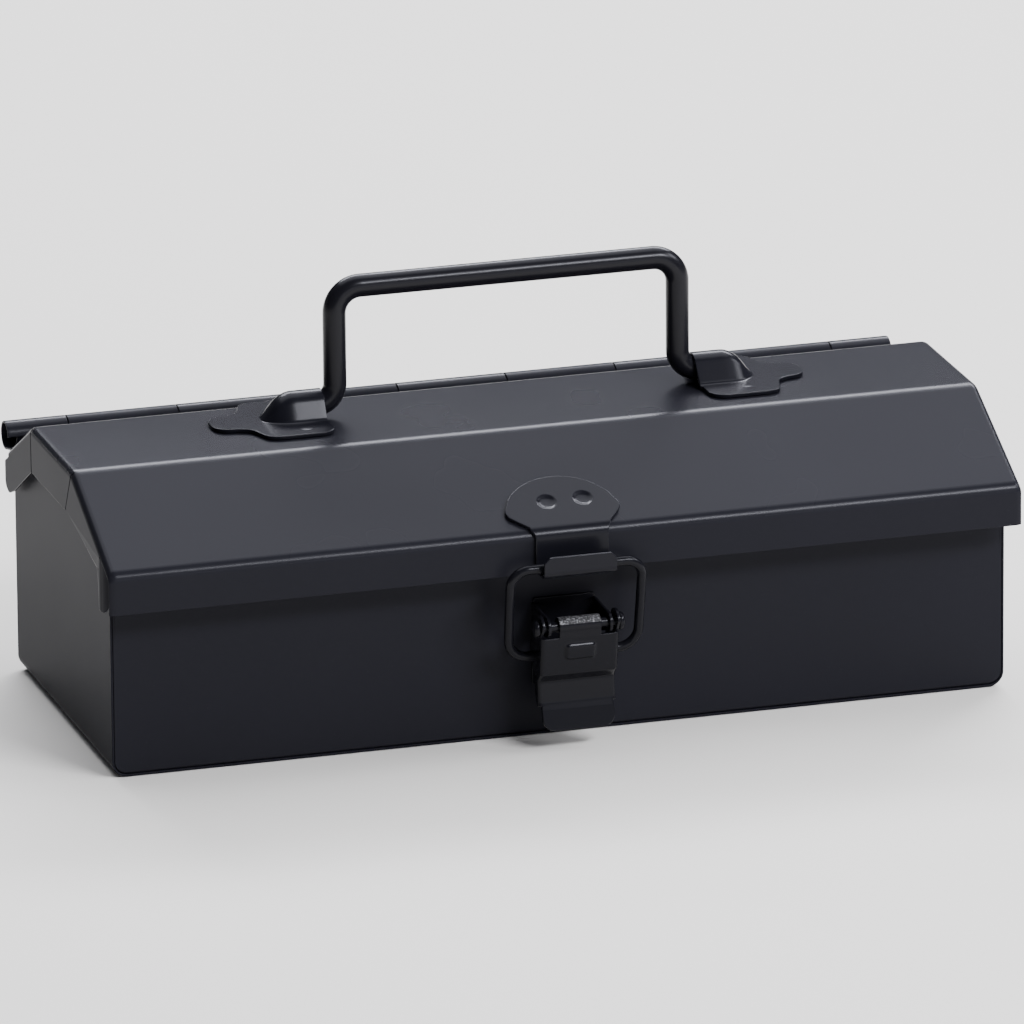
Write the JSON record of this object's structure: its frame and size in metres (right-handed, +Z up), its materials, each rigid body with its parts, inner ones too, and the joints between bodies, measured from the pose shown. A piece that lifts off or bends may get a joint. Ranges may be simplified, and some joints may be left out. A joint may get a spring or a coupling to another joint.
{
  "type": "toolbox with tray",
  "caption": "Dark painted sheet-steel toolbox with a camber-top hinged lid, folding bar handle, toggle latch and lift-out divided tray.",
  "frame": {"origin": "centre of the flat underside of the body, on the surface it stands on", "axes": "+X to the right along the box's length seen from the latch side, +Y towards the hinge at the back, +Z up"},
  "size_m": [0.359, 0.1745, 0.1638],
  "materials": {
    "body_wrap": "satin blue-black paint",
    "body_front_panel": "satin blue-black paint",
    "body_back_panel": "satin blue-black paint",
    "hinge_pin": "satin blue-black paint",
    "tray_rest_left": "satin blue-black paint",
    "tray_rest_right": "satin blue-black paint",
    "latch_base": "satin blue-black paint",
    "latch_pin": "satin blue-black paint",
    "latch_rivet_lower": "satin blue-black paint",
    "latch_rivet_upper": "satin blue-black paint",
    "lid_shell": "satin blue-black paint",
    "handle_bracket_left": "satin blue-black paint",
    "handle_bracket_right": "satin blue-black paint",
    "catch_plate": "satin blue-black paint",
    "handle_bar": "satin blue-black paint",
    "latch_lever": "satin blue-black paint",
    "bail_wire": "satin blue-black paint",
    "tray_pan": "satin blue-black paint",
    "tray_divider_left": "satin blue-black paint",
    "tray_divider_right": "satin blue-black paint",
    "tray_handle": "satin blue-black paint",
    "tray_rivet_front": "satin blue-black paint",
    "tray_rivet_back": "satin blue-black paint"
  },
  "bodies": {
    "body": {"body_wrap": "body_wrap", "body_front_panel": "body_front_panel", "body_back_panel": "body_back_panel", "hinge_pin": "hinge_pin", "tray_rest_left": "tray_rest_left", "tray_rest_right": "tray_rest_right", "latch_base": "latch_base", "latch_pin": "latch_pin", "latch_rivet_lower": "latch_rivet_lower", "latch_rivet_upper": "latch_rivet_upper"},
    "lid": {"lid_shell": "lid_shell", "handle_bracket_left": "handle_bracket_left", "handle_bracket_right": "handle_bracket_right", "catch_plate": "catch_plate"},
    "handle": {"handle_bar": "handle_bar"},
    "lever": {"latch_lever": "latch_lever"},
    "bail": {"bail_wire": "bail_wire"},
    "tray": {"tray_pan": "tray_pan", "tray_divider_left": "tray_divider_left", "tray_divider_right": "tray_divider_right", "tray_handle": "tray_handle", "tray_rivet_front": "tray_rivet_front", "tray_rivet_back": "tray_rivet_back"}
  },
  "joints": [
    {"name": "lid_hinge", "type": "hinge", "parent": "body", "child": "lid", "pos_m": [0, 0.0765, 0.0915], "axis": [-1, 0, 0], "range_deg": [0, 105]},
    {"name": "handle_fold", "type": "hinge", "parent": "lid", "child": "handle", "pos_m": [0.0022, 0.008, 0.1137], "axis": [1, 0, 0], "range_deg": [-85, 85]},
    {"name": "lever_swing", "type": "hinge", "parent": "body", "child": "lever", "pos_m": [0.0005, -0.088, 0.0485], "axis": [-1, 0, 0], "range_deg": [0, 150]},
    {"name": "bail_swing", "type": "hinge", "parent": "lever", "child": "bail", "pos_m": [0.0005, -0.0795, 0.035], "axis": [1, 0, 0], "range_deg": [0, 218]},
    {"name": "tray_lift", "type": "slide", "parent": "body", "child": "tray", "axis": [0, 0, 1], "range_m": [0, 0.05]}
  ],
  "couplings": [
    {"joint": "bail_swing", "follows": "lever_swing", "ratio": 1.45},
    {"joint": "tray_lift", "follows": "lid_hinge", "m_per_rad": 0.027}
  ]
}
